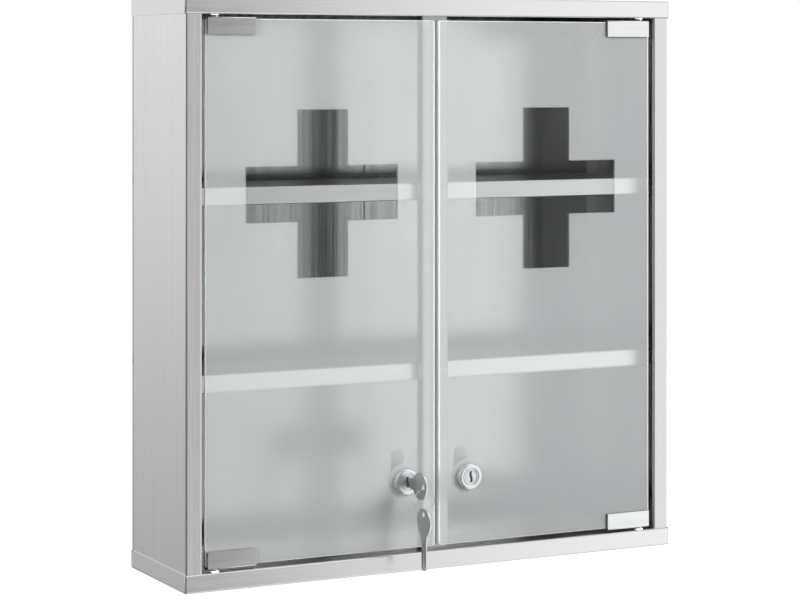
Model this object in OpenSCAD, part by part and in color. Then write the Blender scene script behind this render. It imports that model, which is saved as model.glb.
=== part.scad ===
// Wall cabinet of folded stainless sheet with two frosted glass doors, a cam lock in each door and two shelves.
// The origin is the centre of the case's back face: +X to the right, +Y into the wall, +Z up.
// Stations along Y are counted from there, so the front of the case is at y = -case_d.

/* [Case] */
// Width over the two bands
case_w = 460; // [440:10:600]
// Height over the two bands
case_h = 480; // [440:10:700]
// Depth from the wall to the front of the bands
case_d = 120; // [110:5:200]
// Thickness of the steel sheet
sheet = 1; // [0.8:0.1:1]
// Inner radius of the folds
fold_r = 0.5; // [0.3:0.1:0.5]
// Height of the bands above and below the doors
band_h = 15; // [15:1:20]
// Width of the stile at each side of the front
stile_w = 15.4; // [15:0.2:20]
// Depth of the lips that carry the door pivots
lip_d = 18; // [18:1:22]
// Width of the post between the doors
post_w = 25; // [24:1:30]
// Distance between the wall holes across the case
hole_pitch_x = 380; // [300:10:400]
// Distance between the wall holes up the case
hole_pitch_z = 410; // [300:10:420]
// Diameter of the wall holes
hole_d = 6.5; // [4:0.5:8]

/* [Shelves] */
// Height of the upper shelf's top above the case's bottom
upper_shelf_h = 324.4; // [300:0.4:340]
// Height of the lower shelf's top above the case's bottom
lower_shelf_h = 172.4; // [160:0.4:200]
// Height of a shelf's front lip
shelf_lip = 15; // [12:1:20]

/* [Doors] */
// Thickness of the glass
glass_t = 4; // [4:1:5]
// Gap between the glass and the steel round it
door_gap = 3.8; // [3:0.1:5]
// Gap between the two doors
middle_gap = 4.4; // [4:0.1:6]
// How far the glass sits behind the front of the bands
glass_inset = 3.3; // [3.3:0.1:4]
// Depth of the frosting on each face
frost_d = 0.1; // [0.05:0.01:0.2]
// Overall size of the clear cross
cross_size = 138.4; // [100:0.2:160]
// Width of the cross's arms
cross_arm = 46; // [30:1:50]
// Height of the cross's centre above the case's bottom
cross_h = 318; // [280:1:340]
// Width of a pivot clip
clip_w = 42.6; // [36:0.2:50]
// Height of a pivot clip
clip_h = 14.25; // [13:0.25:18]
// Diameter of a pivot pin
pin_d = 4; // [3:0.5:4]

/* [Locks and keys] */
// Distance of the locks from the middle of the case
lock_x = 30; // [30:1:40]
// Height of the locks above the case's bottom
lock_h = 75; // [60:1:110]
// Diameter of a lock's bezel
bezel_d = 22.5; // [20.5:0.5:24]
// Length of a cam from the lock's axis to its tip
cam_l = 24; // [22:1:26]
// Length of a key's bow
bow_l = 24; // [20:0.5:26]
// Width of a key's bow
bow_w = 23; // [18:0.2:26]
// Thickness of a key
key_t = 2; // [1.6:0.1:2]
// Outer diameter of the key ring
ring_d = 19.8; // [18:0.2:30]
// Thickness of the key ring's wire
wire_d = 1.1; // [0.8:0.1:1.4]

/* [Hidden] */
$fn = 64;
eps = 0.01;
mid = sheet / 2;
fold_steps = 5;
// Half sizes of the case, and the stations of its faces
half_w = case_w / 2;
half_h = case_h / 2;
front = -case_d;
wall_x = half_w - sheet;
band_z = half_h - band_h;
lip_back = front + lip_d;
weld_flange = 12;
strip_w = 25;
strip_t = 1.2;
// The glass: its faces, edges and the two pivots
glass_front = front + glass_inset;
glass_back = glass_front + glass_t;
glass_mid = (glass_front + glass_back) / 2;
glass_outer = half_w - stile_w - door_gap;
glass_inner = middle_gap / 2;
glass_half_h = band_z - door_gap;
cross_z = cross_h - half_h;
clip_outer = glass_outer - 0.9;
clip_t = 1.2;
pad_t = 1.1;
clip_top = glass_half_h + 1.55;
pivot_x = glass_outer - 8.8;
pin_fit = 0.05;
bush_d = 7;
bush_flange_t = 0.8;
collar_t = 1.1;
// The post stands just behind the glass
post_front = glass_back + 0.8;
// Stations of a lock along Y
lock_z = lock_h - half_h;
plug_d = 14;
barrel_d = 12;
body_d = 18;
glass_hole_d = 19;
plug_face = glass_front - 4.6;
plug_step = plug_face + 3;
bezel_face = plug_face - 0.2;
seat = glass_front - 0.5;
body_end = lip_back - 1.2;
cam_front = lip_back + 0.6;
cam_t = 2;
drive_w = 7;
screw_d = 3.2;
screw_l = 3.4;
cam_back = cam_front + cam_t;
wafer_t = 0.9;
wafer_pitch = 2.6;
wafer_w = 6.4;
wafer_h = 11.4;
// The key: a flat blank whose bow, neck and blade lie along one line
blade_h = 8;
blade_t = 0.9;
wave = 0.55;
key_fit = 0.15;
shoulder_at = 29;
key_l = 51.5;
neck_h = 9;
inserted_l = 17.6;
bow_hole_d = 5;
loop_play = 0.15;
hole_at = 4.9;
ring_r = (ring_d - wire_d) / 2;
bow_front = plug_face - key_l + inserted_l;
ring_y = bow_front + hole_at;
loop_drop = bow_hole_d / 2 - wire_d / 2 - loop_play;
ring_touch_z = lock_z - loop_drop;
ring_z = ring_touch_z - ring_r;
hanging_hole_z = ring_z - ring_r - loop_drop;

// ---- Folded sheet -------------------------------------------------------------------------------------------

function unit(v) = v / norm(v);
function left_of(v) = [-v[1], v[0]];
function turn(a, b) = a[0] * b[1] - a[1] * b[0] > 0 ? 1 : -1;

// One side of a fold at the corner q between the directions a and b, as points of an arc round the fold's centre
function fold_arc(q, a, b, side) =
    let (r = fold_r + mid, s = turn(a, b), centre = q - a * r + left_of(a) * s * r)
    [for (k = [0 : fold_steps])
        let (w = 90 * k / fold_steps)
        centre + (a * sin(w) - left_of(a) * s * cos(w)) * (r - s * side * mid)];

// One side of a strip that follows the middle line p, with every corner folded
function strip_side(p, side) =
    let (last = len(p) - 1, first_dir = unit(p[1] - p[0]), last_dir = unit(p[last] - p[last - 1]))
    concat([p[0] + left_of(first_dir) * side * mid],
        [for (i = [1 : last - 1]) each fold_arc(p[i], unit(p[i] - p[i - 1]), unit(p[i + 1] - p[i]), side)],
        [p[last] + left_of(last_dir) * side * mid]);

function reversed(p) = [for (i = [len(p) - 1 : -1 : 0]) p[i]];

// Section of a folded sheet
module folded(p) polygon(concat(strip_side(p, 1), reversed(strip_side(p, -1))));

// A section drawn in Y and Z, run along X
module run_x(x0, x1)
    translate([x0, 0, 0]) rotate([90, 0, 90]) linear_extrude(x1 - x0) children();

// A section drawn in X and Y, run along Z
module run_z(z0, z1) translate([0, 0, z0]) linear_extrude(z1 - z0) children();

module box(low, high) translate(low) cube(high - low);

// A round bar along Y
module bar_y(d, y0, y1) translate([0, y0, 0]) rotate([-90, 0, 0]) cylinder(d = d, h = y1 - y0);

// ---- Case ---------------------------------------------------------------------------------------------------

// Tray with a front band, a lip turned in under it, side flanges and a back flange; drawn as the top one
module tray() {
    section = [[lip_back, band_z + mid], [front + mid, band_z + mid], [front + mid, half_h - mid],
        [-sheet - mid, half_h - mid], [-sheet - mid, half_h - weld_flange]];
    lip_x = wall_x - sheet - 0.1;
    back_flange_x = wall_x - sheet - weld_flange - 1;
    difference() {
        union() {
            intersection() {
                run_x(-wall_x, wall_x) folded(section);
                union() {
                    box([-wall_x, front, half_h - fold_r - sheet], [wall_x, 0, half_h]);
                    box([-wall_x, front, band_z], [wall_x, front + sheet, half_h]);
                    box([-lip_x, front, band_z], [lip_x, lip_back, half_h]);
                    box([-back_flange_x, lip_back, band_z], [back_flange_x, 0, half_h]);
                }
            }
            for (side = [-1, 1])
                translate([side * (half_w - mid), (front + 0) / 2, (band_z + half_h) / 2])
                    cube([sheet, case_d, band_h], center = true);
        }
        for (side = [-1, 1]) {
            translate([side * pivot_x, glass_mid, band_z - 1]) cylinder(d = bush_d - 1, h = sheet + 2);
            tray_corner(side);
        }
    }
}

// Rounds the edge where the deck, a side flange and the band meet
module tray_corner(side) {
    r = fold_r + sheet;
    scale([side, 1, 1]) {
        translate([half_w - r, front - 1, half_h - r]) rotate([-90, 0, 0]) corner_cut(r, case_d + 2);
        translate([half_w - r, front + r, band_z - 1]) corner_cut(r, band_h + 2);
    }
}

// The waste outside a quarter round of radius r and length l, on the +X and -Y side of its axis
module corner_cut(r, l)
    mirror([0, 1, 0])
        difference() {
            cube([r + 1, r + 1, l]);
            translate([0, 0, -1]) cylinder(r = r, h = l + 2);
        }

module top_panel() color("gainsboro") tray();

module bottom_panel() color("gainsboro") mirror([0, 0, 1]) tray();

// Side wall with its stile, whose inner edge is hemmed, and a flange for the back; drawn as the right one
module side_panel() {
    hem = fold_r * 2 + sheet;
    x = wall_x - mid;
    y = front + sheet + mid;
    edge = half_w - stile_w + mid;
    section = [[edge + 7, y + hem], [edge, y + hem], [edge, y], [x, y], [x, -sheet - mid],
        [x - weld_flange, -sheet - mid]];
    run_z(-band_z, band_z) folded(section);
    for (side = [-1, 1])
        scale([1, 1, side])
            box([wall_x - sheet, front + 2.5 * sheet, band_z - eps], [wall_x, -2 * sheet, half_h - 1.5 * sheet]);
}

module left_side_panel() color("gainsboro") mirror([1, 0, 0]) side_panel();

module right_side_panel() color("gainsboro") side_panel();

module back_panel() {
    low = [-wall_x, -sheet, -half_h + 0.4];
    color("silver") difference() {
        box(low, [wall_x, 0, half_h - 0.4]);
        for (x = [-1, 1], z = [-1, 1])
            translate([x * hole_pitch_x / 2, 0, z * hole_pitch_z / 2]) bar_y(hole_d, -sheet - 1, 1);
    }
}

// Stiffening strip down the middle of the back wall
module back_strip()
    color("silver")
        box([-strip_w / 2, -sheet - strip_t, -half_h + weld_flange + 1],
            [strip_w / 2, -sheet, half_h - weld_flange - 1]);

// Channel between the doors, open to the back, with edges turned in for the cams to catch on
module centre_post() {
    x = post_w / 2 - mid;
    y = post_front + mid;
    turned_in = 6;
    section = [[-x + turned_in, lip_back - mid], [-x, lip_back - mid], [-x, y], [x, y], [x, lip_back - mid],
        [x - turned_in, lip_back - mid]];
    color("gainsboro") run_z(-band_z, band_z) folded(section);
}

// Shelf with a hemmed front lip and flanges turned down at the back and the ends
module shelf(height) {
    top = height - half_h;
    hem = fold_r * 2 + sheet;
    y = lip_back + mid;
    back = -sheet - strip_t - mid - 0.1;
    inner_x = wall_x - sheet;
    section = [[y + hem, top - shelf_lip + 7], [y + hem, top - shelf_lip + mid], [y, top - shelf_lip + mid],
        [y, top - mid], [back, top - mid], [back, top - 10]];
    color("silver") {
        run_x(-inner_x, inner_x) folded(section);
        for (side = [-1, 1])
            scale([side, 1, 1])
                box([inner_x - sheet, y + hem + 2, top - 10], [inner_x, back - 2, top - mid]);
    }
}

module upper_shelf() shelf(upper_shelf_h);

module lower_shelf() shelf(lower_shelf_h);

// Nylon bushes that snap into the lips; the pivot pins turn in them
module pivot_bushes()
    color("ivory")
        for (x = [-pivot_x, pivot_x], z = [-1, 1])
            scale([1, 1, z]) translate([x, glass_mid, 0]) bush();

module bush()
    difference() {
        union() {
            translate([0, 0, band_z - bush_flange_t]) cylinder(d = bush_d, h = bush_flange_t);
            translate([0, 0, band_z - eps]) cylinder(d = bush_d - 1, h = sheet + 2);
            translate([0, 0, band_z + sheet]) cylinder(d1 = bush_d, d2 = bush_d - 1.4, h = 2);
        }
        translate([0, 0, band_z - 2]) cylinder(d = pin_d + 2 * pin_fit, h = 8);
    }

// Clear pads on the post that the closed doors rest against
module door_buffers()
    color("white")
        for (x = [-1, 1], z = [-1, 1])
            translate([x * post_w * 0.3, 0, z * glass_half_h * 0.93]) bar_y(6, post_front - 0.5, post_front);

// ---- Doors: everything here is drawn as the right door, and mirrored for the left ---------------------------

module cross_outline() {
    square([cross_size, cross_arm], center = true);
    square([cross_arm, cross_size], center = true);
}

// Pane frosted on both faces round the clear cross, which therefore stands a little proud
module glass() {
    cross_x = (glass_inner + glass_outer) / 2;
    difference() {
        union() {
            box([glass_inner, glass_front + frost_d, -glass_half_h],
                [glass_outer, glass_back - frost_d, glass_half_h]);
            translate([cross_x, glass_back, cross_z]) rotate([90, 0, 0])
                linear_extrude(glass_t) cross_outline();
        }
        translate([lock_x, 0, lock_z]) bar_y(glass_hole_d, glass_front - 1, glass_back + 1);
    }
}

// U-shaped clip folded round the pane's top edge
module clip() {
    y0 = glass_front - pad_t - mid_clip();
    y1 = glass_back + pad_t + mid_clip();
    low = clip_top - clip_h;
    difference() {
        union() {
            box([clip_outer - clip_w, y0 - mid_clip(), low], [clip_outer, y0 + mid_clip(), clip_top - 1]);
            box([clip_outer - clip_w, y1 - mid_clip(), low], [clip_outer, y1 + mid_clip(), clip_top - 1]);
            clip_web(y0, y1);
            for (x = screw_stations())
                translate([x, y1, clip_top - clip_h / 2 - 1]) bar_y(7, 0, mid_clip() + 1.4);
        }
        translate([pivot_x, glass_mid, clip_top - 3]) cylinder(d = 3, h = 6);
        for (x = screw_stations())
            translate([x, y1, clip_top - clip_h / 2 - 1]) bar_y(4, -2, 4);
    }
}

function mid_clip() = clip_t / 2;

function screw_stations() = [clip_outer - clip_w * 0.3, clip_outer - clip_w * 0.75];

// The clip's web, with the fold rounded along both its edges
module clip_web(y0, y1) {
    r = 1;
    low = clip_top - clip_t;
    x0 = clip_outer - clip_w;
    box([x0, y0 - mid_clip() + r, low], [clip_outer, y1 + mid_clip() - r, clip_top]);
    for (y = [y0 - mid_clip() + r, y1 + mid_clip() - r])
        intersection() {
            translate([x0, y, clip_top - r]) rotate([0, 90, 0]) cylinder(r = r, h = clip_w);
            box([x0, y - r, clip_top - r], [clip_outer, y + r, clip_top]);
        }
}

// Liner between a clip and the pane: a U of the same width
module clip_pad() {
    low = clip_top - clip_h;
    inside = clip_top - clip_t;
    difference() {
        box([clip_outer - clip_w, glass_front - pad_t, low], [clip_outer, glass_back + pad_t, inside]);
        box([clip_outer - clip_w - 1, glass_front, low - 1], [clip_outer + 1, glass_back, glass_half_h]);
        translate([pivot_x, glass_mid, glass_half_h - 1]) cylinder(d = 3.4, h = 4);
    }
}

// Pin with a collar, riveted into the clip's web
module pivot_pin() {
    translate([pivot_x, glass_mid, 0]) {
        translate([0, 0, clip_top - clip_t]) cylinder(d = 3, h = clip_t + eps);
        translate([0, 0, clip_top]) cylinder(d = 6, h = collar_t);
        translate([0, 0, clip_top + collar_t - eps]) cylinder(d = pin_d, h = 5.6);
        translate([0, 0, clip_top + collar_t + 5.6 - 2 * eps]) cylinder(d1 = pin_d, d2 = pin_d - 1.2, h = 0.6);
    }
}

// Grub screw in the clip's back plate
module grub_screw(x) {
    y0 = glass_back + pad_t;
    translate([x, 0, clip_top - clip_h / 2 - 1]) difference() {
        bar_y(4, y0, y0 + clip_t + 1.4);
        translate([0, y0 + 1.2, 0]) rotate([-90, 0, 0]) cylinder(d = 2, h = 3, $fn = 6);
    }
}

module grub_screws() for (x = screw_stations()) grub_screw(x);

// The same piece at the pane's top and bottom edge
module both_ends() {
    children();
    mirror([0, 0, 1]) children();
}

module at_lock() translate([lock_x, 0, lock_z]) children();

// Bezel with a rounded rim, and the body that passes through the pane
module lock_housing() at_lock() {
    rim = 1.2;
    difference() {
        union() {
            rotate([-90, 0, 0]) rotate_extrude() bezel_section(rim);
            bar_y(body_d, seat - 1, body_end);
        }
        bar_y(plug_d + 2 * pin_fit, bezel_face - 1, plug_step);
        bar_y(barrel_d + 2 * pin_fit, plug_step - 1, body_end + 1);
        for (side = [-1, 1])
            translate([side * (body_d / 2 + 0.2), (glass_back + 1.6 + body_end) / 2, 0])
                cube([2.4, body_end - glass_back - 1.6 + 2, body_d], center = true);
    }
}

// Half section of the bezel: radius across, station along Y upwards
module bezel_section(rim) {
    square_from([0, bezel_face + 0.6], [bezel_d / 2 - 0.4, seat]);
    square_from([bezel_d / 2 - 1, bezel_face + rim + 0.6], [bezel_d / 2, seat]);
    square_from([0, bezel_face], [bezel_d / 2 - rim - 0.6, bezel_face + 1]);
    translate([bezel_d / 2 - rim - 0.6, bezel_face + rim + 0.6]) intersection() {
        circle(r = rim + 0.6);
        translate([0, -rim - 0.6]) square(rim + 0.6);
    }
}

module square_from(low, high) translate(low) square(high - low);

// Soft ring under the bezel
module lock_gasket() at_lock()
    difference() {
        bar_y(bezel_d - 0.6, seat, glass_front);
        bar_y(body_d, seat - 1, glass_front + 1);
    }

module lock_washer() at_lock()
    difference() {
        bar_y(29, glass_back, glass_back + 1.2);
        bar_y(body_d + 0.1, glass_back - 1, glass_back + 3);
    }

module lock_nut() at_lock()
    difference() {
        translate([0, glass_back + 1.2, 0]) rotate([-90, 30, 0]) cylinder(d = 25.4, h = 3.6, $fn = 6);
        bar_y(body_d, glass_back, glass_back + 6);
    }

// Outline of the key's blade: a flat S, as points up one side and down the other
function blade_outline(fit) =
    let (n = 12, half = blade_h / 2 + fit, t = blade_t / 2 + fit)
    concat([for (k = [0 : n]) let (z = -half + 2 * half * k / n) [t - wave * sin(180 * z / half), z]],
        [for (k = [n : -1 : 0]) let (z = -half + 2 * half * k / n) [-t - wave * sin(180 * z / half), z]]);

// A section drawn in X and Z, run along Y
module run_y(y0, y1) translate([0, y1, 0]) rotate([90, 0, 0]) linear_extrude(y1 - y0) children();

function wafer_stations() = [for (k = [0 : 3]) plug_step + 1.6 + k * wafer_pitch];

// Plug with its stepped head, keyway, wafer slots and the square that drives the cam
module lock_plug() at_lock()
    difference() {
        union() {
            bar_y(plug_d, plug_face, plug_step - pin_fit);
            bar_y(barrel_d, plug_face + 1, cam_front);
            translate([-drive_w / 2, cam_front - eps, -drive_w / 2]) cube([drive_w, cam_t + eps, drive_w]);
        }
        run_y(plug_face - 1, plug_face + inserted_l + 0.4) polygon(blade_outline(key_fit));
        for (y = wafer_stations())
            translate([0, y + wafer_t / 2, 0]) cube([wafer_w, wafer_t, barrel_d + 2], center = true);
        bar_y(screw_d, cam_back - screw_l - 0.4, cam_back + 1);
    }

// Flat wafers, each with a window for the blade
module lock_wafers() at_lock()
    for (y = wafer_stations())
        intersection() {
            bar_y(barrel_d - 0.2, y, y + wafer_t);
            difference() {
                translate([0, y + wafer_t / 2, 0]) cube([wafer_w, wafer_t, wafer_h], center = true);
                translate([0, y + wafer_t / 2, 0]) cube([3.4, wafer_t + 1, blade_h + 0.8], center = true);
            }
        }

// Cam, parked upwards
module lock_cam() at_lock()
    difference() {
        union() {
            bar_y(15, cam_front, cam_back);
            translate([-5.5, cam_front, 0]) cube([11, cam_t, cam_l - 5.5]);
            translate([0, 0, cam_l - 5.5]) bar_y(11, cam_front, cam_back);
        }
        translate([-drive_w / 2, cam_front - 1, -drive_w / 2]) cube([drive_w, cam_t + 2, drive_w]);
    }

// Pan-head screw that holds the cam
module cam_screw() at_lock()
    difference() {
        union() {
            bar_y(screw_d, cam_back - screw_l, cam_back + 0.5);
            bar_y(10, cam_back, cam_back + 0.8);
            bar_y(7, cam_back + 0.8 - eps, cam_back + 2.6);
        }
        for (w = [0, 90])
            translate([0, cam_back + 2.4, 0]) rotate([0, w, 0]) cube([4.4, 1.6, 0.9], center = true);
    }

// ---- Keys ---------------------------------------------------------------------------------------------------

// A point of the bow's oval, which is fullest towards the tip; the tip is at 0 and the blade along +X
function oval(w) = [bow_l / 2 * (1 - cos(w)), bow_w / 2 * sin(w) * (1 + 0.06 * cos(w))];

// The curve that leads from the oval into the neck: from a by way of b to c
function blend(a, b, c) = [for (k = [1 : 5]) let (t = k / 5) a * (1 - t) * (1 - t) + b * 2 * t * (1 - t) + c * t * t];

// One side of the flat part: the bow, the neck and the shoulder
function flat_side() =
    let (h = neck_h / 2)
    concat([for (w = [0 : 6 : 144]) oval(w)], blend(oval(144), [bow_l - 0.8, h], [bow_l + 1.6, h]),
        [[shoulder_at - 0.8, h], [shoulder_at, h - 0.8]]);

function flipped(p) = [for (i = [len(p) - 1 : -1 : 1]) [p[i][0], -p[i][1]]];

// Key with its hole, flat in X and Y, the tip of the bow at the origin and the blade along +X
module key_blank()
    difference() {
        union() {
            linear_extrude(key_t, center = true) polygon(concat(flat_side(), flipped(flat_side())));
            translate([shoulder_at - eps, 0, 0]) rotate([90, 0, 90])
                linear_extrude(key_l - shoulder_at) rotate(90) polygon(blade_outline(0));
        }
        translate([hole_at, 0, -key_t]) cylinder(d = bow_hole_d, h = 2 * key_t);
        for (k = [0 : 3])
            translate([key_l - inserted_l + 5 + k * wafer_pitch, blade_h / 2 + 0.4, 0]) rotate(45)
                cube([1.7 + 0.25 * (k % 2), 1.7 + 0.25 * (k % 2), 4], center = true);
    }

// The key in the left lock, its bow out in front
module inserted_key()
    color("silver") translate([-lock_x, bow_front, lock_z]) rotate([90, 0, 90]) key_blank();

module key_ring()
    color("silver")
        translate([-lock_x, ring_y, ring_z]) rotate([90, 0, 0])
            rotate_extrude() translate([ring_r, 0]) circle(d = wire_d, $fn = 24);

module hanging_key()
    color("silver")
        translate([-lock_x, ring_y, hanging_hole_z + hole_at]) rotate([0, 90, 0]) key_blank();

// ---- The doors' nodes ---------------------------------------------------------------------------------------

module left() mirror([1, 0, 0]) children();

module left_glass() color([0.8, 0.88, 0.88, 0.5]) left() glass();
module left_top_clip() color("lightgray") left() clip();
module left_bottom_clip() color("lightgray") left() mirror([0, 0, 1]) clip();
module left_clip_pads() color("dimgray") left() both_ends() clip_pad();
module left_pivot_pins() color("darkgray") left() both_ends() pivot_pin();
module left_clip_screws() color("darkgray") left() both_ends() grub_screws();
module left_lock_housing() color("lightgray") left() lock_housing();
module left_lock_gasket() color("dimgray") left() lock_gasket();
module left_lock_washer() color("darkgray") left() lock_washer();
module left_lock_nut() color("darkgray") left() lock_nut();
module left_lock_plug() color("silver") left() lock_plug();
module left_lock_wafers() color("goldenrod") left() lock_wafers();
module left_lock_cam() color("darkgray") left() lock_cam();
module left_cam_screw() color("gray") left() cam_screw();

module right_glass() color([0.8, 0.88, 0.88, 0.5]) glass();
module right_top_clip() color("lightgray") clip();
module right_bottom_clip() color("lightgray") mirror([0, 0, 1]) clip();
module right_clip_pads() color("dimgray") both_ends() clip_pad();
module right_pivot_pins() color("darkgray") both_ends() pivot_pin();
module right_clip_screws() color("darkgray") both_ends() grub_screws();
module right_lock_housing() color("lightgray") lock_housing();
module right_lock_gasket() color("dimgray") lock_gasket();
module right_lock_washer() color("darkgray") lock_washer();
module right_lock_nut() color("darkgray") lock_nut();
module right_lock_plug() color("silver") lock_plug();
module right_lock_wafers() color("goldenrod") lock_wafers();
module right_lock_cam() color("darkgray") lock_cam();
module right_cam_screw() color("gray") cam_screw();

top_panel();
bottom_panel();
left_side_panel();
right_side_panel();
back_panel();
back_strip();
centre_post();
upper_shelf();
lower_shelf();
pivot_bushes();
door_buffers();
left_glass();
left_top_clip();
left_bottom_clip();
left_clip_pads();
left_pivot_pins();
left_clip_screws();
left_lock_housing();
left_lock_gasket();
left_lock_washer();
left_lock_nut();
left_lock_plug();
left_lock_wafers();
left_lock_cam();
left_cam_screw();
right_glass();
right_top_clip();
right_bottom_clip();
right_clip_pads();
right_pivot_pins();
right_clip_screws();
right_lock_housing();
right_lock_gasket();
right_lock_washer();
right_lock_nut();
right_lock_plug();
right_lock_wafers();
right_lock_cam();
right_cam_screw();
inserted_key();
key_ring();
hanging_key();
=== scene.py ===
# %% [markdown]
# # A lockable medicine cabinet
# The cabinet is a shallow box of folded stainless sheet with two panes of etched glass for doors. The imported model
# holds every piece at its real size: it loads as a fixed frame, in metres, with the origin at the centre of the back,
# +X to the right, +Y into the wall and +Z up. This lesson dresses that frame: finishes first, then the pieces whose
# beauty is in their rounded edges, such as the panes, the clips, the locks and the keys.

import math

import bmesh
import bpy
import numpy as np
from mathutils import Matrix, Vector
from mathutils.geometry import delaunay_2d_cdt


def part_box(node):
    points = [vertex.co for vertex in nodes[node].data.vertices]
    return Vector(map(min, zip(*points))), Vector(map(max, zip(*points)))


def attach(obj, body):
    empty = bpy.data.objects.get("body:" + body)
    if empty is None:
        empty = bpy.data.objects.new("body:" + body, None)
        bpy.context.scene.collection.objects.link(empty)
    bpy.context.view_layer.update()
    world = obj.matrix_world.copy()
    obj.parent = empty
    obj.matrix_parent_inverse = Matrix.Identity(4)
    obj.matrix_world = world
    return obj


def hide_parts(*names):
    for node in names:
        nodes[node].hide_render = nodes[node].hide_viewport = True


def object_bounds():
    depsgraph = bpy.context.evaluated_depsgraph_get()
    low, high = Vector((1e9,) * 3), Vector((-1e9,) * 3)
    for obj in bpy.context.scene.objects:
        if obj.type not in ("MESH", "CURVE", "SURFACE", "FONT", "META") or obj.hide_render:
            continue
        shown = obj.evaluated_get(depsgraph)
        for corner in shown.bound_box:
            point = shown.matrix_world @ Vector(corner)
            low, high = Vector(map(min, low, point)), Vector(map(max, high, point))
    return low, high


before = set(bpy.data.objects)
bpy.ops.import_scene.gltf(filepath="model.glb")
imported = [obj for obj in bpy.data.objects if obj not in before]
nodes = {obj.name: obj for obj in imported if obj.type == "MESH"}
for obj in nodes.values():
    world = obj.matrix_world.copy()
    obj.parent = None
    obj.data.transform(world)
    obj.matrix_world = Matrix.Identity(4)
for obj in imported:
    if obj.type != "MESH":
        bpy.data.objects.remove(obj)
cad_box = [list(corner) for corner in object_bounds()]
mm = 0.001
print("pieces in the frame:", len(nodes), "- box:", cad_box)

# %% [markdown]
# ## Measures
# Nearly every size comes from the frame itself, by asking a piece for its lowest and highest corner. The few that a
# corner can't tell, such as the length of the cross's arms, are written once here.

# %% Read the main stations from the frame
right_pane_low, right_pane_high = (np.array(c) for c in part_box("right_glass"))
pane_front, pane_back = right_pane_low[1], right_pane_high[1]
plug_low, plug_high = (np.array(c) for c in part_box("right_lock_plug"))
lock_x = (plug_low[0] + plug_high[0]) / 2
lock_z = (plug_low[2] + plug_high[2]) / 2
cross_size, cross_arm, cross_z = 138.4 * mm, 46 * mm, 78 * mm
cross_x = (right_pane_low[0] + right_pane_high[0]) / 2
print("pane from", right_pane_low, "to", right_pane_high, "- lock at", lock_x, lock_z, "- cross at", cross_x, cross_z)

# %% [markdown]
# ## Colour and node helpers
# Colours are written as the hex values that a colour picker shows, which are sRGB, and shaders want linear light. One
# function does that, and one more adds a shader node with its settings and links, so a material reads as a list.

# %% Define the two helpers
def linear(code, alpha=1.0):
    """sRGB hex to linear light: c / 12.92 below 0.04045, and ((c + 0.055) / 1.055) ** 2.4 above."""
    parts = np.array([int(code[i : i + 2], 16) for i in (1, 3, 5)]) / 255
    light = np.where(parts <= 0.04045, parts / 12.92, ((parts + 0.055) / 1.055) ** 2.4)
    return (*light.tolist(), alpha)


def add(tree, kind, settings=None, links=None):
    """Adds a node. settings are properties or input values, and links are the sockets that feed inputs, both by name
    or, for an input, by number."""
    node = tree.nodes.new("ShaderNode" + kind)
    for name, value in (settings or {}).items():
        if isinstance(name, str) and hasattr(node, name):
            setattr(node, name, value)
        else:
            node.inputs[name].default_value = value
    for name, socket in (links or {}).items():
        tree.links.new(socket, node.inputs[name])
    return node


def new_material(name):
    """An empty node material with its output; returns (material, tree, output)."""
    material = bpy.data.materials.new(name)
    material.use_nodes = True
    tree = material.node_tree
    tree.nodes.clear()
    return material, tree, tree.nodes.new("ShaderNodeOutputMaterial")


print("white in linear light:", linear("#FFFFFF"))

# %% [markdown]
# ## Brushed stainless steel
# The sheet is type 304 stainless with a No. 4 finish: a belt drags fine scratches along it, all one way. The eye reads
# that as a soft sheen that is drawn out across the scratches. Noise stretched along the brushing direction, a fraction
# of a millimetre across and several centimetres long, moves the roughness, the tone and a very small bump.

# %% Make the brushed steels
def away_from_centre(tree, axis):
    """0 on faces behind the doors that look into the case along an axis, where p times n is negative, else 1."""
    where = add(tree, "TexCoord")
    place = add(tree, "SeparateXYZ", None, {0: where.outputs["Object"]})
    facing = add(tree, "SeparateXYZ", None, {0: where.outputs["Normal"]}).outputs[axis]
    product = add(tree, "Math", {"operation": "MULTIPLY"}, {0: place.outputs[axis], 1: facing}).outputs[0]
    outward = add(tree, "Math", {"operation": "GREATER_THAN", 1: -0.05}, {0: product}).outputs[0]
    behind_doors = float(pane_back) + 1 * mm
    in_front = add(tree, "Math", {"operation": "LESS_THAN", 1: behind_doors}, {0: place.outputs["Y"]}).outputs[0]
    return add(tree, "Math", {"operation": "MAXIMUM"}, {0: outward, 1: in_front}).outputs[0]


def painted_corner_shade(tree, height, reach=14 * mm, least=0.2):
    """Painted shade in the corner above a shelf: on the inner face the tone falls from 1 to its least there."""
    where = add(tree, "TexCoord")
    up = add(tree, "SeparateXYZ", None, {0: where.outputs["Object"]}).outputs["Z"]
    depth = add(tree, "SeparateXYZ", None, {0: where.outputs["Normal"]}).outputs["Y"]
    outer = add(tree, "Math", {"operation": "GREATER_THAN", 1: 0.0}, {0: depth}).outputs[0]
    below = add(tree, "MapRange", {"From Min": height - 1 * mm, "From Max": height, "To Min": 1.0, "To Max": least},
                {"Value": up}).outputs[0]
    limits = {"interpolation_type": "SMOOTHSTEP", "From Min": height + 2 * mm, "From Max": height + reach,
              "To Min": least}
    above = add(tree, "MapRange", limits, {"Value": up}).outputs[0]
    inner = add(tree, "Math", {"operation": "MAXIMUM"}, {0: below, 1: above}).outputs[0]
    return add(tree, "Math", {"operation": "MAXIMUM"}, {0: inner, 1: outer}).outputs[0]


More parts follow.
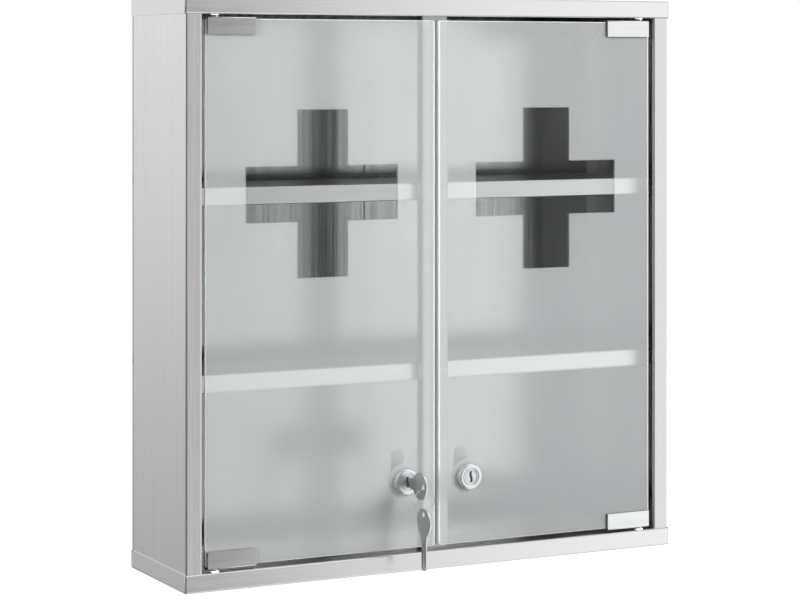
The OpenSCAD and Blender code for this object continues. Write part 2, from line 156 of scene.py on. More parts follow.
def brushed_steel(name, along, tone="#CFCECB", rough=0.3, bump=0.03, spread=(1, 0, 0), grain_length=60 * mm,
                  contrast=0.04, inner=None, corners=(), stretch=0.85, grain_width=0.9 * mm, top=1.0):
    """Steel brushed along one axis. The noise is stretched: its scale is 1 / length along the axis, 1 / width across.
    The sheen is wider along the spread vector, which lies across the scratches. inner names the axis whose inward faces
    keep the darker mill finish, made darker still by painted shade inside the case, and corners are heights above which
    painted shade darkens the corner over a shelf. top is the share of the tone that faces looking up keep, a painted
    shade."""
    material, tree, out = new_material(name)
    where = add(tree, "TexCoord").outputs["Object"]
    streak_width, streak_length = 5 * mm, 400 * mm
    fine_scale = [1 / grain_width] * 3
    wide_scale = [1 / streak_width] * 3
    fine_scale["XYZ".index(along)] = 1 / grain_length
    wide_scale["XYZ".index(along)] = 1 / streak_length
    fine_place = add(tree, "Mapping", {"Scale": fine_scale}, {"Vector": where}).outputs[0]
    wide_place = add(tree, "Mapping", {"Scale": wide_scale}, {"Vector": where}).outputs[0]
    fine = add(tree, "TexNoise", {"Scale": 1.0, "Detail": 3.0, "Roughness": 0.6}, {"Vector": fine_place}).outputs[0]
    wide = add(tree, "TexNoise", {"Scale": 1.0, "Detail": 2.0, "Roughness": 0.5}, {"Vector": wide_place}).outputs[0]
    level = add(tree, "Math", {"operation": "MULTIPLY_ADD", 1: 0.6}, {0: wide, 2: fine}).outputs[0]
    limits = {"From Min": 0.4, "From Max": 1.2, "To Min": rough - 0.05, "To Max": rough + 0.06}
    roughness = add(tree, "MapRange", limits, {"Value": level}).outputs[0]
    limits = {"From Min": 0.6, "From Max": 0.98, "To Min": 1 - contrast, "To Max": 1 + contrast}
    shade = add(tree, "MapRange", limits, {"Value": level}).outputs[0]
    # Painted shade: the tone darkens in the corner just above each of these heights.
    for height in corners:
        shade = add(tree, "Math", {"operation": "MULTIPLY"}, {0: shade, 1: painted_corner_shade(tree, height)}).outputs[0]
    # Mill finish on the inward faces, made darker still as painted shade inside the case.
    if inner:
        limits = {"From Min": 0.4, "From Max": 0.62, "To Min": 0.12, "To Max": 0.8}
        rolled_and_shaded = add(tree, "MapRange", limits, {"Value": fine}).outputs[0]
        mill_and_shade = add(tree, "Math", {"operation": "MAXIMUM"}, {0: rolled_and_shaded, 1: away_from_centre(tree, inner)}).outputs[0]
        shade = add(tree, "Math", {"operation": "MULTIPLY"}, {0: shade, 1: mill_and_shade}).outputs[0]
    # Painted shade on faces looking up: their tone drops to the share top.
    if top < 1:
        facing = add(tree, "SeparateXYZ", None, {0: add(tree, "TexCoord").outputs["Normal"]}).outputs["Z"]
        limits = {"From Min": 0.4, "From Max": 0.8, "To Min": 1.0, "To Max": top}
        painted_top_shade = add(tree, "MapRange", limits, {"Value": facing}).outputs[0]
        shade = add(tree, "Math", {"operation": "MULTIPLY"}, {0: shade, 1: painted_top_shade}).outputs[0]
    colour = add(tree, "VectorMath", {"operation": "SCALE", 0: linear(tone)[:3]}, {"Scale": shade}).outputs[0]
    lift = add(tree, "Bump", {"Strength": bump, "Distance": 0.1 * mm}, {"Height": fine}).outputs[0]
    across = add(tree, "CombineXYZ", dict(zip("XYZ", spread))).outputs[0]
    feeds = {"Base Color": colour, "Roughness": roughness, "Normal": lift, "Tangent": across}
    steel = add(tree, "BsdfPrincipled", {"Metallic": 1.0, "Anisotropic": stretch}, feeds)
    tree.links.new(steel.outputs[0], out.inputs["Surface"])
    return material


shelf_tops = [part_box(name)[1][2] for name in ("upper_shelf", "lower_shelf")]
# The sides' inward faces get the mill finish and painted shade inside the case through inner="X".
steel_side = brushed_steel("stainless_brushed_upright", "Z", tone="#D5D4D1", rough=0.22, spread=(1, 1, 0),
                           contrast=0.055, inner="X")
steel_tray = brushed_steel("stainless_brushed_trays", "X", rough=0.26, bump=0.015, spread=(0, 0.1, 1), contrast=0.02)
# The shelves' tops get painted shade through top=0.3.
steel_shelf = brushed_steel("stainless_brushed_shelves", "X", tone="#D4D4D2", rough=0.34, spread=(0, 0.1, 1),
                            stretch=0.4, top=0.3)
steel_post = brushed_steel("stainless_brushed_post", "Z", tone="#A9A9A7", rough=0.22, spread=(1, 1, 0))
# The back's rolling lines are finer than a millimetre; they are drawn at 2 mm so that they show from across a room.
# The back gets painted shade in its corner above each shelf.
steel_back = brushed_steel("stainless_back_sheet", "Z", tone="#A2A2A0", rough=0.13, grain_length=250 * mm, contrast=0.2,
                           corners=shelf_tops, bump=0.25, grain_width=2 * mm)
steel_clip = brushed_steel("stainless_polished_clip", "X", tone="#CBCBC9", rough=0.13, bump=0.02, spread=(0, 0.1, 1))
print("steels:", [m.name for m in (steel_side, steel_tray, steel_shelf, steel_post, steel_back, steel_clip)])

# %% [markdown]
# ## Plated metals, PVC and nylon
# The lock's bezel is zinc with bright chrome plate, and the keys and nuts are nickel plate, which is a little warmer
# and duller. Both get a faint unevenness, because plate over a casting or a stamping is never optically flat.

# %% Make the plated metals and the soft materials
def plated(name, tone, rough, grain, bump, metallic=1.0):
    """Plated metal with a faint waviness of the given grain in metres; a matt coat makes it a little less metallic."""
    material, tree, out = new_material(name)
    where = add(tree, "TexCoord").outputs["Object"]
    noise = add(tree, "TexNoise", {"Scale": 1 / grain, "Detail": 3.0, "Roughness": 0.55}, {"Vector": where}).outputs[0]
    roughness = add(tree, "MapRange", {"To Min": rough * 0.75, "To Max": rough * 1.3}, {"Value": noise}).outputs[0]
    lift = add(tree, "Bump", {"Strength": bump, "Distance": 0.05 * mm}, {"Height": noise}).outputs[0]
    settings = {"Metallic": metallic, "Base Color": linear(tone)}
    metal = add(tree, "BsdfPrincipled", settings, {"Roughness": roughness, "Normal": lift})
    tree.links.new(metal.outputs[0], out.inputs["Surface"])
    return material


def moulded(name, tone, rough, grain, see=0.0, ior=1.5):
    """Moulded PVC or nylon: a dielectric with a fine grain in its roughness and bump."""
    material, tree, out = new_material(name)
    where = add(tree, "TexCoord").outputs["Object"]
    noise = add(tree, "TexNoise", {"Scale": 1 / grain, "Detail": 4.0, "Roughness": 0.6}, {"Vector": where}).outputs[0]
    roughness = add(tree, "MapRange", {"To Min": rough * 0.8, "To Max": rough * 1.2}, {"Value": noise}).outputs[0]
    lift = add(tree, "Bump", {"Strength": 0.15, "Distance": 0.05 * mm}, {"Height": noise}).outputs[0]
    settings = {"Base Color": linear(tone), "IOR": ior, "Transmission Weight": see}
    body = add(tree, "BsdfPrincipled", settings, {"Roughness": roughness, "Normal": lift})
    tree.links.new(body.outputs[0], out.inputs["Surface"])
    return material


chrome = plated("zinc_chrome_plated", "#D6D6D8", 0.26, 2.5 * mm, 0.15, metallic=0.95)
nickel = plated("steel_nickel_plated", "#D3D6D4", 0.24, 1.2 * mm, 0.3, metallic=0.985)
plug_metal = plated("zinc_plug_satin", "#CFCFCF", 0.3, 1.5 * mm, 0.25, metallic=0.93)
zinc = plated("zinc_plain", "#A4A7A6", 0.45, 1.2 * mm, 0.3)
brass = plated("brass_bare", "#C8A55A", 0.3, 0.8 * mm, 0.3)
gasket = moulded("gasket_grey_pvc", "#C6CFCC", 0.45, 0.5 * mm)
nylon = moulded("nylon_natural", "#DEDDD5", 0.5, 0.6 * mm)
soft_clear = moulded("pad_clear_pvc", "#FFFFFF", 0.08, 0.6 * mm, see=1.0, ior=1.12)
print("plated and moulded:", [m.name for m in (chrome, nickel, plug_metal, zinc, brass, gasket, nylon, soft_clear)])

# %% [markdown]
# ## Etched glass
# The panes are float glass with both faces etched by acid, apart from a cross that was masked off and stays clear. The
# etched skin scatters what passes through it: things close behind it stay readable and things deeper in melt away,
# which is what a rough refraction does. A share of plain scattering makes it milky.

# %% Make the etched, clear and edge glass
def glass(name, rough, milk, tint, shine=1.0):
    """Glass of one roughness with a share of milky scattering at each face; shine scales what it reflects."""
    material, tree, out = new_material(name)
    settings = {"Base Color": linear(tint), "Roughness": rough, "IOR": 1.5, "Transmission Weight": 1.0,
                "Specular Tint": (shine, shine, shine, 1)}
    clear = add(tree, "BsdfPrincipled", settings)
    body = clear.outputs[0]
    if milk:
        near = add(tree, "BsdfDiffuse", {"Color": linear("#F3F7F7")}).outputs[0]
        through = add(tree, "BsdfTranslucent", {"Color": linear("#F3F7F7")}).outputs[0]
        haze = add(tree, "MixShader", {"Fac": 0.45}, {1: near, 2: through}).outputs[0]
        body = add(tree, "MixShader", {"Fac": milk}, {1: body, 2: haze}).outputs[0]
    tree.links.new(body, out.inputs["Surface"])
    return material


etched = glass("float_glass_etched", 0.2, 0.16, "#FCFFFE")
clear_glass = glass("float_glass_clear", 0.0, 0.0, "#FBFEFD", shine=0.2)
edge_glass = glass("float_glass_ground_edge", 0.25, 0.45, "#DDF2EC")
print("glass:", [m.name for m in (etched, clear_glass, edge_glass)])

# %% [markdown]
# ## Dress the sheet-metal pieces
# The folded sheets already have their true shape with rounded bends. A sheared sheet edge is never razor sharp, so a
# live Bevel takes a fraction of a millimetre off it: the highlights along the edges come from that. The model's mesh is
# loose triangles, so a Weld modifier joins them first. The brushing runs along each sheet's long way.

# %% Give the case its finish
def wear(name, material):
    """Puts one material on every slot of a piece of the frame."""
    piece = nodes[name]
    if not piece.material_slots:
        piece.data.materials.append(material)
    for s in piece.material_slots:
        s.material = material
    return piece


def soften(piece, width):
    """Joins the loose triangles and rounds the edges by the given width, with modifiers that leave the mesh alone."""
    weld = piece.modifiers.new("weld", "WELD")
    weld.merge_threshold = 0.01 * mm
    bevel = piece.modifiers.new("edges", "BEVEL")
    bevel.width, bevel.segments, bevel.limit_method, bevel.angle_limit = width, 2, "ANGLE", math.radians(40)
    bevel.harden_normals = False
    return piece


finish = {"top_panel": steel_tray, "bottom_panel": steel_tray, "upper_shelf": steel_shelf, "lower_shelf": steel_shelf,
          "left_side_panel": steel_side, "right_side_panel": steel_side, "centre_post": steel_post,
          "back_strip": steel_back, "back_panel": steel_back}
for name, steel in finish.items():
    soften(wear(name, steel), 0.15 * mm)
wear("pivot_bushes", nylon)
wear("door_buffers", steel_post)  # thin clear pads take the look of the steel under them
for side in ("left", "right"):
    for end in ("top_clip", "bottom_clip"):
        soften(wear(f"{side}_{end}", steel_clip), 0.25 * mm)
    wear(f"{side}_clip_pads", soft_clear)
    for kind in ("pivot_pins", "clip_screws", "lock_nut", "cam_screw"):
        wear(f"{side}_{kind}", nickel)
    wear(f"{side}_lock_cam", zinc)
    wear(f"{side}_lock_gasket", gasket)
    wear(f"{side}_lock_washer", gasket)
    wear(f"{side}_lock_wafers", brass)
print("dressed pieces:", len(nodes))

# %% [markdown]
# ## Tools for shaped pieces
# Three small surface functions build nearly everything that is modelled here: a plate with rounded edges from an
# outline with holes, a body of revolution from a closed profile, and a loft through matching sections. They return
# plain points and faces, and one more function turns those into a piece that replaces a node of the frame.

# %% Define the surface functions
def inset(loop, distance):
    """Moves each point p of a closed loop to its left by d: p + d (n0 + n1) / (1 + n0 . n1), n the edge normals."""
    ahead = np.roll(loop, -1, axis=0) - loop
    ahead /= np.linalg.norm(ahead, axis=1)[:, None]
    normal = np.stack([-ahead[:, 1], ahead[:, 0]], axis=1)
    before = np.roll(normal, 1, axis=0)
    return loop + distance * (normal + before) / (1 + np.sum(normal * before, axis=1))[:, None]


def inside(point, loop):
    """Even-odd test: counts the loop's edges that a ray from the point towards +X crosses."""
    a, b = loop, np.roll(loop, -1, axis=0)
    spans = (a[:, 1] > point[1]) != (b[:, 1] > point[1])
    a, b = a[spans], b[spans]
    crossing = a[:, 0] + (point[1] - a[:, 1]) / (b[:, 1] - a[:, 1]) * (b[:, 0] - a[:, 0])
    return int(np.sum(crossing > point[0])) % 2 == 1


def fill(loops, holes, marks=()):
    """Triangles over the first loop without the holes; returns (triangles, flags), flag 1 inside one of the marks.
    The indices count through loops, then marks."""
    every = list(loops) + list(marks)
    points = np.concatenate(every)
    edges, start = [], 0
    for loop in every:
        n = len(loop)
        edges += [(start + i, start + (i + 1) % n) for i in range(n)]
        start += n
    made = delaunay_2d_cdt([Vector(p) for p in points], edges, [], 1, 1e-9)
    source = [origin[0] for origin in made[3]]
    triangles, flags = [], []
    for face in made[2]:
        corners = [source[i] for i in face]
        centre = points[corners].mean(axis=0)
        if any(inside(centre, hole) for hole in holes):
            continue
        triangles.append(corners)
        flags.append(int(any(inside(centre, mark) for mark in marks)))
    return triangles, flags


def plate(outline, holes, low, high, rounding, marks=(), steps=4):
    """A plate between two depths with rounded rims. Ring k of a rim lies r (1 - sin a) inside the outline and
    r (1 - cos a) below the face, a from 0 to 90 degrees. Points are (across, depth, up)."""
    loops = [np.asarray(outline, float)] + [np.asarray(h, float)[::-1] for h in holes]
    angles = np.radians(np.linspace(0, 90, steps + 1))
    rings = [(rounding * (1 - math.sin(a)), low + rounding * (1 - math.cos(a))) for a in angles]
    rings += [(i, low + high - d) for i, d in rings[::-1]]
    points, faces, kinds = [], [], []
    firsts, lasts, count = [], [], 0
    for loop in loops:
        n = len(loop)
        for depth_inset, depth in rings:
            ring = inset(loop, depth_inset)
            points += [(p[0], depth, p[1]) for p in ring]
        for k in range(len(rings) - 1):
            a, b = count + k * n, count + (k + 1) * n
            faces += [(a + i, b + i, b + (i + 1) % n, a + (i + 1) % n) for i in range(n)]
            kinds += [2] * n
        firsts.append(count)
        lasts.append(count + (len(rings) - 1) * n)
        count += n * len(rings)
    face_loops = [inset(loop, rings[0][0]) for loop in loops]
    mark_start = count
    for mark in marks:
        points += [(p[0], low, p[1]) for p in mark]
        points += [(p[0], high, p[1]) for p in mark]
        count += 2 * len(mark)
    triangles, flags = fill(face_loops, [np.asarray(h, float) for h in holes], marks)
    sizes = [len(loop) for loop in loops] + [len(m) for m in marks]
    front, back, start = [], [], mark_start
    for number, size in enumerate(sizes):
        if number < len(loops):
            front += [firsts[number] + i for i in range(size)]
            back += [lasts[number] + i for i in range(size)]
        else:
            front += [start + i for i in range(size)]
            back += [start + size + i for i in range(size)]
            start += 2 * size
    faces += [tuple(front[i] for i in t) for t in triangles]
    faces += [tuple(back[i] for i in t[::-1]) for t in triangles]
    return np.array(points), faces, kinds + flags + flags


def revolve(profile, centre, turns=96):
    """Turns a closed profile of (radius, depth) round an axis along Y: (x, z) = centre + r (cos a, sin a)."""
    profile = np.asarray(profile, float)
    angles = np.linspace(0, 2 * math.pi, turns, endpoint=False)
    points = [(centre[0] + r * math.cos(a), depth, centre[1] + r * math.sin(a)) for a in angles for r, depth in profile]
    n = len(profile)
    faces = []
    for k in range(turns):
        a, b = k * n, (k + 1) % turns * n
        faces += [(a + i, a + (i + 1) % n, b + (i + 1) % n, b + i) for i in range(n)]
    return np.array(points), faces, [0] * len(faces)


def loft(sections):
    """Joins closed sections that have the same number of points; each end is filled with one face."""
    sections = np.asarray(sections, float)
    rings, n = sections.shape[:2]
    faces = []
    for k in range(rings - 1):
        a, b = k * n, (k + 1) * n
        faces += [(a + i, a + (i + 1) % n, b + (i + 1) % n, b + i) for i in range(n)]
    faces += [tuple(range(n))[::-1], tuple((rings - 1) * n + i for i in range(n))]
    return sections.reshape(-1, 3), faces, [0] * len(faces)


def piece(name, shells, materials, body, slot, replaced, sharp=35):
    """Joins shells of (points, faces, kinds) into one object whose kinds pick from the materials."""
    points, faces, kinds, count = [], [], [], 0
    for shell_points, shell_faces, shell_kinds in shells:
        points += [tuple(map(float, p)) for p in shell_points]
        faces += [tuple(i + count for i in face) for face in shell_faces]
        kinds += list(shell_kinds)
        count += len(shell_points)
    mesh = bpy.data.meshes.new(name)
    mesh.from_pydata(points, [], faces)
    for material in materials:
        mesh.materials.append(material)
    mesh.polygons.foreach_set("material_index", [min(k, len(materials) - 1) for k in kinds])
    work = bmesh.new()
    work.from_mesh(mesh)
    rim = {face for face in work.faces if kinds[face.index] == 2}
    bmesh.ops.remove_doubles(work, verts=work.verts, dist=1e-6)
    bmesh.ops.recalc_face_normals(work, faces=work.faces)
    for edge in work.edges:
        sides = {face in rim for face in edge.link_faces}
        edge.smooth = len(sides) == 1 and edge.calc_face_angle(0.0) < math.radians(sharp)
    work.to_mesh(mesh)
    work.free()
    mesh.polygons.foreach_set("use_smooth", [True] * len(mesh.polygons))
    made = bpy.data.objects.new(name, mesh)
    bpy.context.scene.collection.objects.link(made)
    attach(made, body)
    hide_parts(replaced)
    return made


print("surface functions:", [f.__name__ for f in (inset, fill, plate, revolve, loft, piece)])

# %% [markdown]
# ## The panes
# Each pane is one plate with ground edges: a quarter round of 0.45 mm takes off each arris, and the hole for the lock
# has the same. The cross is an outline on both faces; inside it the glass keeps its polish.

# %% Build the two panes
def ring_of(centre, radius, count=48):
    """Points on a circle, counter-clockwise: centre + r (cos a, sin a)."""
    a = np.linspace(0, 2 * math.pi, count, endpoint=False)
    return np.stack([centre[0] + radius * np.cos(a), centre[1] + radius * np.sin(a)], axis=1)


def rounded_box(low, high, radius, steps=4):
    """Corners of a rectangle, each a quarter circle, counter-clockwise from the lower left."""
    points = []
    for k, (x, z) in enumerate(((low[0], low[1]), (high[0], low[1]), (high[0], high[1]), (low[0], high[1]))):
        cx = x + radius * (1 if x == low[0] else -1)
        cz = z + radius * (1 if z == low[1] else -1)
        for a in np.radians(180 + 90 * k + np.linspace(0, 90, steps)):
            points.append((cx + radius * math.cos(a), cz + radius * math.sin(a)))
    return np.array(points)


def cross_outline(centre, size, arm):
    """The twelve corners of a Greek cross, counter-clockwise."""
    s, a = size / 2, arm / 2
    corners = [(a, -s), (a, -a), (s, -a), (s, a), (a, a), (a, s),
               (-a, s), (-a, a), (-s, a), (-s, -a), (-a, -a), (-a, -s)]
    return np.array(corners) + centre


panes = {}
for side, sign in (("left", -1), ("right", 1)):
    low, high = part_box(f"{side}_glass")
    outline = rounded_box((low[0], low[2]), (high[0], high[2]), 1.5 * mm)
    hole = ring_of((sign * lock_x, lock_z), 9.5 * mm)
    cross = cross_outline((sign * cross_x, cross_z), cross_size, cross_arm)
    film = 0.03 * mm  # of air, so the pane never shares a plane with what presses on it
    shell = plate(outline, [hole], low[1] + film, high[1] - film, 0.45 * mm, marks=[cross])
    skins = [etched, clear_glass, edge_glass]
    panes[side] = piece(f"{side}_pane", [shell], skins, f"{side}_door", "glass", f"{side}_glass")
print("panes:", {side: len(pane.data.polygons) for side, pane in panes.items()}, "faces")

# %% [markdown]
# ## The locks
# The housing is a die casting: a domed bezel in front of the glass and a body through it. The plug stands in it with a
# turned groove and the S-shaped keyway. The bezel's dome is a quarter ellipse, so its highlight is long and soft.

# %% Build the housings and plugs
housing_low, housing_high = (np.array(c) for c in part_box("right_lock_housing"))
bezel_r = (housing_high[0] - housing_low[0]) / 2
bezel_face, body_end = housing_low[1], housing_high[1]
seat = pane_front - 0.5 * mm
plug_face, plug_step = plug_low[1], plug_low[1] + 3 * mm
dome = [(bezel_r * 0.84 + bezel_r * 0.16 * math.sin(a), bezel_face + (seat - 1.0 * mm - bezel_face) * (1 - math.cos(a)))
        for a in np.radians(np.linspace(0, 90, 9))]
head_bore, barrel_bore, body_r = 7.05 * mm, 6.05 * mm, 9 * mm
barrel_r, face_r, square = 6 * mm, 5.25 * mm, 3.5 * mm
housing_profile = [(head_bore, plug_step), (head_bore, bezel_face + 0.5 * mm), (7.5 * mm, bezel_face + 0.12 * mm),
                   *dome, (bezel_r, seat - 0.2 * mm), (bezel_r - 0.2 * mm, seat), (body_r, seat), (body_r, body_end),
                   (barrel_bore, body_end), (barrel_bore, plug_step)]


def s_bend(z, half=4 * mm, wave=0.55 * mm):
    """How far the S-shaped section stands to the left at a height: w sin(180 z / h)."""
    return wave * np.sin(np.pi * z / half)


def keyway(centre, fit=0.15 * mm, half=4 * mm, thick=0.45 * mm, steps=12):
    """Outline of the S-shaped keyway: x = t - s_bend(z) up one side and -t - s_bend(z) down the other."""
    z = np.linspace(-half - fit, half + fit, steps + 1)
    bend = s_bend(z, half + fit)
    right_side = np.stack([thick + fit - bend, z], axis=1)
    left_side = np.stack([-thick - fit - bend, z], axis=1)[::-1]
    return np.concatenate([right_side, left_side]) + centre


for side, sign in (("left", -1), ("right", 1)):
    centre = (sign * lock_x, lock_z)
    body = revolve(housing_profile, centre)
    piece(f"{side}_housing", [body], [chrome], f"{side}_door", "chrome", f"{side}_lock_housing")
    rim = [(5.3 * mm, plug_face + 0.35 * mm), (5.6 * mm, plug_face + 0.05 * mm), (5.8 * mm, plug_face),
           (6.7 * mm, plug_face), (7 * mm, plug_face + 0.3 * mm), (7 * mm, plug_step - 0.05 * mm),
           (5.3 * mm, plug_step - 0.05 * mm)]
    slot = keyway(centre)
    mouth = keyway(centre, fit=0.65 * mm)
    head_end, barrel_end = plug_step - 0.05 * mm, plug_face + 18 * mm
    head = plate(ring_of(centre, face_r, 64), [mouth], plug_face + 0.12 * mm, head_end, 0.12 * mm, steps=2)
    barrel = plate(ring_of(centre, barrel_r, 64), [slot], head_end, barrel_end, 0.08 * mm, steps=2)
    cam_low, cam_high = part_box(f"{side}_lock_cam")
    tail = revolve([(0.02 * mm, barrel_end), (barrel_r, barrel_end), (barrel_r, cam_low[1]),
                    (0.02 * mm, cam_low[1])], centre, 64)
    corners = [(centre[0] + k * square, centre[1] + k * square) for k in (-1, 1)]
    drive = plate(rounded_box(*corners, 0.4 * mm), [], cam_low[1], cam_high[1], 0.2 * mm, steps=2)
    shells = [revolve(rim, centre), head, barrel, tail, drive]
    piece(f"{side}_plug", shells, [plug_metal], f"{side}_lock", "chrome", f"{side}_lock_plug")
print("bezel radius", bezel_r, "- face at", bezel_face)

# %% [markdown]
# ## The keys and their ring
# The keys are stamped from nickel-plated steel: an oval bow with a rolled rim, a punched hole, a waist that runs into
# the neck, and a thin blade with a milled S section whose edge is notched for the wafers. The ring is a split ring, two
# turns of wire side by side.

# %% Build the keys
def key_side(bow_length=24 * mm, bow_width=23 * mm, neck=4.5 * mm, shoulder=29 * mm):
    """Half outline of the bow and neck, from the tip on: an oval (l/2 (1 - cos w), b/2 sin w (1 + 0.06 cos w)), then a
    quadratic curve into the neck."""
    w = np.radians(np.linspace(0, 144, 33))
    oval = np.stack([bow_length / 2 * (1 - np.cos(w)), bow_width / 2 * np.sin(w) * (1 + 0.06 * np.cos(w))], axis=1)
    a, b, c = oval[-1], np.array([bow_length - 0.8 * mm, neck]), np.array([bow_length + 1.6 * mm, neck])
    t = np.linspace(0, 1, 9)[1:, None]
    waist = a * (1 - t) ** 2 + b * 2 * t * (1 - t) + c * t**2
    return np.concatenate([oval, waist, [[shoulder - 0.8 * mm, neck], [shoulder, neck - 0.8 * mm]]])


def key_shells(length=51.5 * mm, thick=2 * mm, hole_at=4.9 * mm, shoulder=29 * mm, inserted=17.6 * mm):
    """The flat part and the blade, drawn with the tip of the bow at 0, the blade along +X, the bow's width along Z and
    the thickness along Y."""
    half = key_side()
    outline = np.concatenate([half, half[:0:-1] * (1, -1)])[::-1]
    hole = ring_of((hole_at, 0), 2.5 * mm, 40)
    flat = plate(outline, [hole], -thick / 2, thick / 2, 0.55 * mm, steps=4)
    section = keyway((0, 0), fit=0.0)
    flank = section[:, 0] + s_bend(section[:, 1])  # plus or minus half the blade's thickness
    tip_length = 2.4 * mm
    stations = np.concatenate([np.linspace(shoulder - 0.3 * mm, length - 2.5 * mm, 90),
                               np.linspace(length - tip_length, length, 10)])
    cuts = length - inserted + 5 * mm + np.arange(4) * 2.6 * mm
    sections = []
    for x in stations:
        notch = max(0.0, max(1.1 * mm - abs(x - c) for c in cuts + 0.45 * mm))
        tip = max(0.0, x - (length - tip_length))
        top = 4 * mm - notch - tip * 0.9
        bottom = -4 * mm + tip * 0.9
        z = np.clip(section[:, 1], bottom, top)
        sections.append(np.stack([np.full(len(z), x), flank - s_bend(z), z], axis=1))  # a cut leaves the S where it is
    return [flat, loft(sections)]


def stood(shells, move):
    """Applies a function to the points of each shell."""
    return [(np.array([move(p) for p in points]), faces, kinds) for points, faces, kinds in shells]


key_low, key_high = (np.array(c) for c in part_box("inserted_key"))
spare_low, spare_high = (np.array(c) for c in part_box("hanging_key"))
inserted = stood(key_shells(), lambda p: (-lock_x + p[1], key_low[1] + p[0], lock_z + p[2]))
spare_y = (spare_low[1] + spare_high[1]) / 2
hanging = stood(key_shells(), lambda p: (-lock_x + p[1], spare_y + p[2], spare_high[2] - p[0]))
piece("key_in_lock", inserted, [nickel], "door_key", "nickel", "inserted_key")
piece("key_on_ring", hanging, [nickel], "spare_key", "nickel", "hanging_key")
print("key from", key_low, "to", key_high)

# %% Wind the split ring
ring_low, ring_high = (np.array(c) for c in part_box("key_ring"))
ring_centre = (ring_low + ring_high) / 2
wire = 0.6 * mm
turn_radius = (ring_high[0] - ring_low[0]) / 2 - wire / 2
turns, per_turn, around = 2.0, 72, 12
half_depth = (ring_high[1] - ring_low[1]) / 2 - wire / 2
sections = []
for k in range(int(turns * per_turn) + 1):
    share = k / (turns * per_turn)
    a = math.radians(70) + 2 * math.pi * turns * share
    depth = ring_centre[1] + half_depth * math.tanh(8 * (share - 0.5))
    out = np.array([math.cos(a), 0, math.sin(a)])
    middle = np.array([ring_centre[0], depth, ring_centre[2]]) + out * turn_radius
    sections.append([middle + wire / 2 * (out * math.cos(b) + np.array([0, 1, 0]) * math.sin(b))
                     for b in np.linspace(0, 2 * math.pi, around, endpoint=False)])
piece("split_ring", [loft(sections)], [chrome], "ring", "chrome", "key_ring")
print("ring of", turns, "turns, radius", turn_radius)

# %% [markdown]
# ## The studio
# The cabinet stands on a pale floor under two softboxes, one on each side of the doors. Metal and glass don't show the
# softboxes. They show the room, which is dim in front and on the left and brightens quickly from 20 degrees on the
# right: that is what takes the front bands from grey to white. A narrow dark slot behind keeps the wall holes dark.

# %% Build the floor, the room and the lights
case_low = cad_box[0]
floor_mesh = bpy.data.meshes.new("floor")
reach = 12.0
floor_z = float(case_low[2]) - 0.5 * mm
floor_corners = [(x * reach, y * reach, floor_z) for x, y in ((-1, -1), (1, -1), (1, 1), (-1, 1))]
floor_mesh.from_pydata(floor_corners, [], [(0, 1, 2, 3)])
floor = bpy.data.objects.new("floor", floor_mesh)
bpy.context.scene.collection.objects.link(floor)
floor_paint, tree, out = new_material("floor_pale")
is_camera = add(tree, "LightPath").outputs["Is Camera Ray"]
glow = add(tree, "Emission", {"Color": (1, 1, 1, 1), "Strength": 1.05}).outputs[0]
paint = add(tree, "BsdfDiffuse", {"Color": linear("#F4F4F4")}).outputs[0]
dull = add(tree, "BsdfDiffuse", {"Color": linear("#B4B6B8")}).outputs[0]
seen = add(tree, "MixShader", {"Fac": 0.86}, {1: paint, 2: glow}).outputs[0]
mix = add(tree, "MixShader", None, {"Fac": is_camera, 1: dull, 2: seen})
tree.links.new(mix.outputs[0], out.inputs["Surface"])
floor_mesh.materials.append(floor_paint)
floor.visible_glossy = floor.visible_diffuse = floor.visible_transmission = False

world = bpy.data.worlds.new("studio")
bpy.context.scene.world = world
world.use_nodes = True
tree = world.node_tree
tree.nodes.clear()
world_out = tree.nodes.new("ShaderNodeOutputWorld")


def glow_toward(azimuth, elevation, inner, outer, strength):
    """A soft pool of light in the room: full inside the inner angle from its centre, none past the outer one."""
    a, e = math.radians(azimuth), math.radians(elevation)
    centre = (math.sin(a) * math.cos(e), -math.cos(a) * math.cos(e), math.sin(e))
    where = add(tree, "TexCoord").outputs["Generated"]
    along = add(tree, "VectorMath", {"operation": "DOT_PRODUCT", 1: centre}, {0: where}).outputs["Value"]
    limits = {"interpolation_type": "SMOOTHSTEP", "From Min": math.cos(math.radians(outer)),
              "From Max": math.cos(math.radians(inner)), "To Min": 0.0, "To Max": strength}
    return add(tree, "MapRange", limits, {"Value": along}).outputs[0]


def total(sockets):
    """Adds up a list of value sockets."""
    level = sockets[0]
    for socket in sockets[1:]:
        level = add(tree, "Math", {"operation": "ADD"}, {0: level, 1: socket}).outputs[0]
    return level


# The room's brightness by azimuth in degrees: 0 is straight in front of the doors, 90 on their right.
walls = ((-180, 0.18), (-150, 0.25), (-120, 0.33), (-90, 0.35), (-60, 0.25), (-30, 0.2), (0, 0.22), (14, 0.3),
         (20, 0.42), (22.3, 0.5), (23.7, 0.63), (24.6, 0.81), (25.1, 0.96), (25.6, 1.1), (26.5, 1.33), (28.3, 1.42),
         (33, 1.6), (38, 1.65), (50, 1.4), (75, 1.05), (100, 0.9), (130, 0.8), (143, 0.7), (147, 0.1), (154, 0.1),
         (158, 0.6), (168, 0.35), (180, 0.18))
brightest = max(level for _, level in walls)
direction = add(tree, "SeparateXYZ", None, {0: add(tree, "TexCoord").outputs["Generated"]})
toward_doors = add(tree, "Math", {"operation": "MULTIPLY", 1: -1.0}, {0: direction.outputs["Y"]}).outputs[0]
turned = add(tree, "Math", {"operation": "ARCTAN2"}, {0: direction.outputs["X"], 1: toward_doors}).outputs[0]
share = add(tree, "MapRange", {"From Min": -math.pi, "From Max": math.pi}, {"Value": turned}).outputs[0]
wall_ramp = add(tree, "ValToRGB", None, {"Fac": share})
stops = wall_ramp.color_ramp.elements
while len(stops) < len(walls):
    stops.new(0.5)
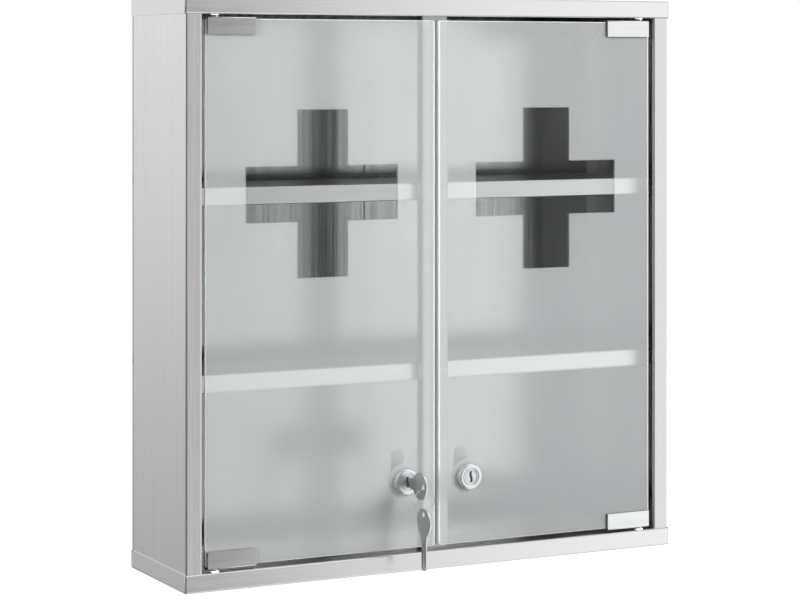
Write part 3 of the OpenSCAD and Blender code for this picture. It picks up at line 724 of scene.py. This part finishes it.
for stop, (azimuth, level) in zip(stops, walls):
    stop.position = (azimuth + 180) / 360
    stop.color = (*[level / brightest] * 3, 1)
wall_light = add(tree, "Math", {"operation": "MULTIPLY", 1: brightest}, {0: wall_ramp.outputs[0]}).outputs[0]
upper_left = add(tree, "Math", {"operation": "MULTIPLY"},
                 {0: glow_toward(-153, 60, 35, 88, 1.45), 1: glow_toward(-125, 0, 50, 76, 1.0)}).outputs[0]
room_light = total([wall_light, upper_left, glow_toward(0, 90, 20, 60, 0.3)])
# An open door is seen against the white backdrop. A ray that only passed through glass finds the room no brighter than
# the limit, so the pane stays a little darker than the white behind it.
path = add(tree, "LightPath")
depths = {0: path.outputs["Glossy Depth"], 1: path.outputs["Diffuse Depth"]}
bounces = add(tree, "Math", {"operation": "ADD"}, depths).outputs[0]
limit = add(tree, "MapRange", {"From Max": 0.5, "To Min": 0.8, "To Max": 10.0}, {"Value": bounces}).outputs[0]
room_light = add(tree, "Math", {"operation": "MINIMUM"}, {0: room_light, 1: limit}).outputs[0]
room = add(tree, "Background", {"Color": linear("#F4F6F8")}, {"Strength": room_light}).outputs[0]
seen = add(tree, "Background", {"Color": (1, 1, 1, 1), "Strength": 1.0}).outputs[0]
both = add(tree, "MixShader", None, {"Fac": path.outputs["Is Camera Ray"], 1: room, 2: seen})
tree.links.new(both.outputs[0], world_out.inputs["Surface"])


def softbox(name, azimuth, elevation, distance, width, height, power):
    """An area light that faces the case. Azimuth 0 is straight in front of the doors and 90 is on their right."""
    a, e = math.radians(azimuth), math.radians(elevation)
    toward = np.array([math.sin(a) * math.cos(e), -math.cos(a) * math.cos(e), math.sin(e)])
    lamp = bpy.data.lights.new(name, "AREA")
    lamp.shape, lamp.size, lamp.size_y, lamp.energy = "RECTANGLE", width, height, power
    holder = bpy.data.objects.new(name, lamp)
    holder.location = toward * distance
    holder.rotation_euler = (math.radians(90) - e, 0, a)
    holder.visible_glossy = holder.visible_transmission = False  # metal and glass show the room instead
    bpy.context.scene.collection.objects.link(holder)
    return holder


key_light = softbox("key_softbox", 35, 25, 3.0, 1.6, 1.6, 300)
fill_light = softbox("fill_softbox", -65, 10, 3.0, 1.6, 1.6, 260)
print("floor at", floor_z, "- lights:", key_light.name, fill_light.name)

# %% [markdown]
# ## The camera
# The photograph was taken with a level camera a little above the case's middle, from the left, with the lens shifted
# down as one does for buildings and furniture, so that uprights stay upright.

# %% Place the camera
camera_data = bpy.data.cameras.new("camera")
camera = bpy.data.objects.new("camera", camera_data)
camera.location = (-0.97604, -1.95800, 0.18241)
camera.rotation_euler = (math.radians(90), 0, math.radians(-27.064))
camera_data.sensor_width = 36
camera_data.lens = 111.21
camera_data.shift_y = -0.29175
camera_data.clip_end = 100
bpy.context.scene.collection.objects.link(camera)
bpy.context.scene.camera = camera
bpy.context.scene.view_settings.view_transform = "Standard"
print("camera at", tuple(camera.location))
